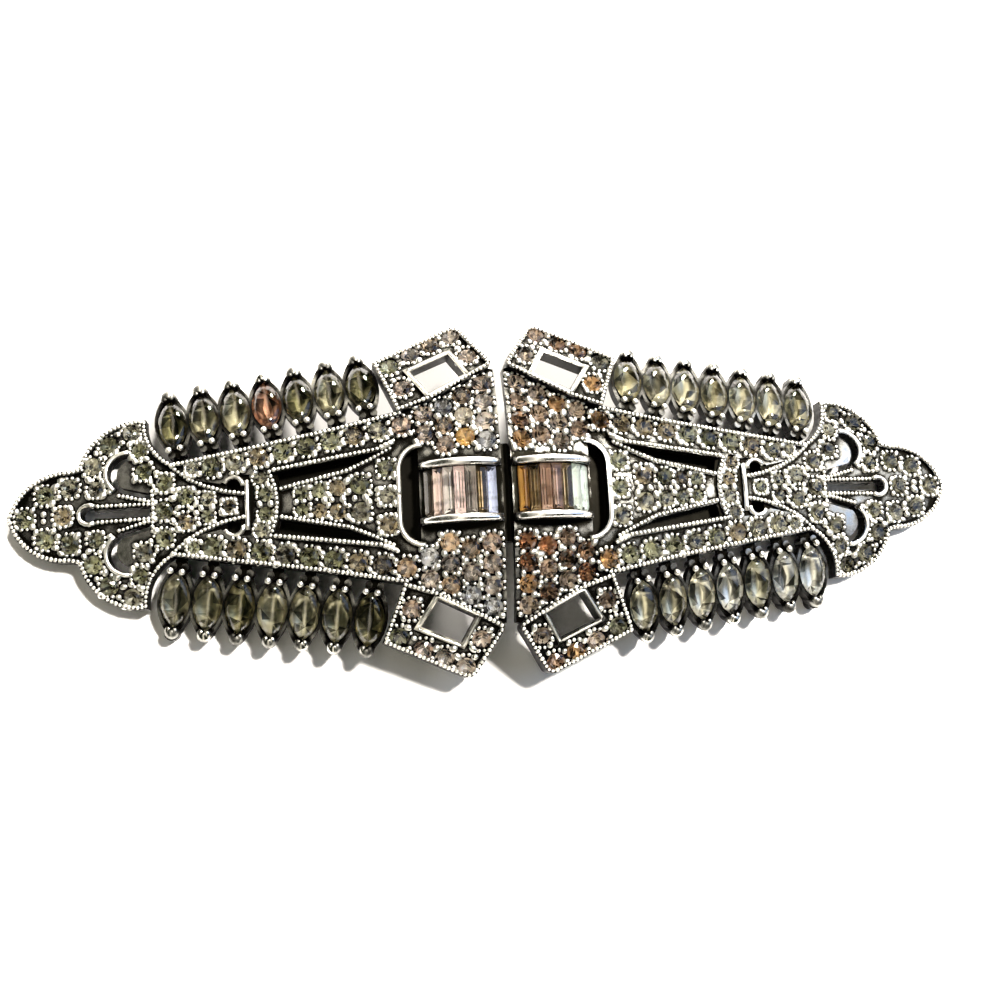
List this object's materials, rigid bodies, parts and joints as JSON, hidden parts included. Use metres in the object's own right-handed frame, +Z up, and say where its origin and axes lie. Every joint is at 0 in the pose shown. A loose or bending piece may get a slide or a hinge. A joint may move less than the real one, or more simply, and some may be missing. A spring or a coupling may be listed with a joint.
{
  "type": "double-clip rhinestone brooch",
  "caption": "Domed double-clip brooch in white metal with pave arms, pierced wing panels, scrolled tips, pointed oval side stones and a baguette barrel, lying on its back.",
  "frame": {"origin": "middle of the brooch's outline, on the surface that it lies on", "axes": "+X along the brooch from the left clip to the right clip, +Y across it, +Z up from the surface, out of its stone face"},
  "size_m": [0.084, 0.0306, 0.0098],
  "materials": {
    "cast_metal": "cast white metal with a bright rhodium-like plate, polished on its rails and beads, dark with age in its recesses",
    "frame_metal": "plated steel strip and wire, dull and dark with age",
    "round_stones": "clear foiled glass rhinestones, polished facets, yellowed in places",
    "baguette_stones": "clear foiled glass baguettes, polished facets",
    "pointed_oval_stones": "clear to smoky foiled glass pointed ovals, polished facets"
  },
  "bodies": {
    "root": {"clip_left": "cast_metal", "clip_right": "cast_metal", "back_frame": "frame_metal", "pave_left": "round_stones", "pave_right": "round_stones", "baguette_left_1": "baguette_stones", "baguette_left_2": "baguette_stones", "baguette_left_3": "baguette_stones", "baguette_left_4": "baguette_stones", "baguette_left_5": "baguette_stones", "baguette_left_6": "baguette_stones", "baguette_left_7": "baguette_stones", "baguette_right_1": "baguette_stones", "baguette_right_2": "baguette_stones", "baguette_right_3": "baguette_stones", "baguette_right_4": "baguette_stones", "baguette_right_5": "baguette_stones", "baguette_right_6": "baguette_stones", "baguette_right_7": "baguette_stones", "navette_left_top_1": "pointed_oval_stones", "navette_left_top_2": "pointed_oval_stones", "navette_left_top_3": "pointed_oval_stones", "navette_left_top_4": "pointed_oval_stones", "navette_left_top_5": "pointed_oval_stones", "navette_left_top_6": "pointed_oval_stones", "navette_left_top_7": "pointed_oval_stones", "navette_left_bottom_1": "pointed_oval_stones", "navette_left_bottom_2": "pointed_oval_stones", "navette_left_bottom_3": "pointed_oval_stones", "navette_left_bottom_4": "pointed_oval_stones", "navette_left_bottom_5": "pointed_oval_stones", "navette_left_bottom_6": "pointed_oval_stones", "navette_left_bottom_7": "pointed_oval_stones", "navette_right_top_1": "pointed_oval_stones", "navette_right_top_2": "pointed_oval_stones", "navette_right_top_3": "pointed_oval_stones", "navette_right_top_4": "pointed_oval_stones", "navette_right_top_5": "pointed_oval_stones", "navette_right_top_6": "pointed_oval_stones", "navette_right_top_7": "pointed_oval_stones", "navette_right_bottom_1": "pointed_oval_stones", "navette_right_bottom_2": "pointed_oval_stones", "navette_right_bottom_3": "pointed_oval_stones", "navette_right_bottom_4": "pointed_oval_stones", "navette_right_bottom_5": "pointed_oval_stones", "navette_right_bottom_6": "pointed_oval_stones", "navette_right_bottom_7": "pointed_oval_stones"}
  },
  "joints": []
}
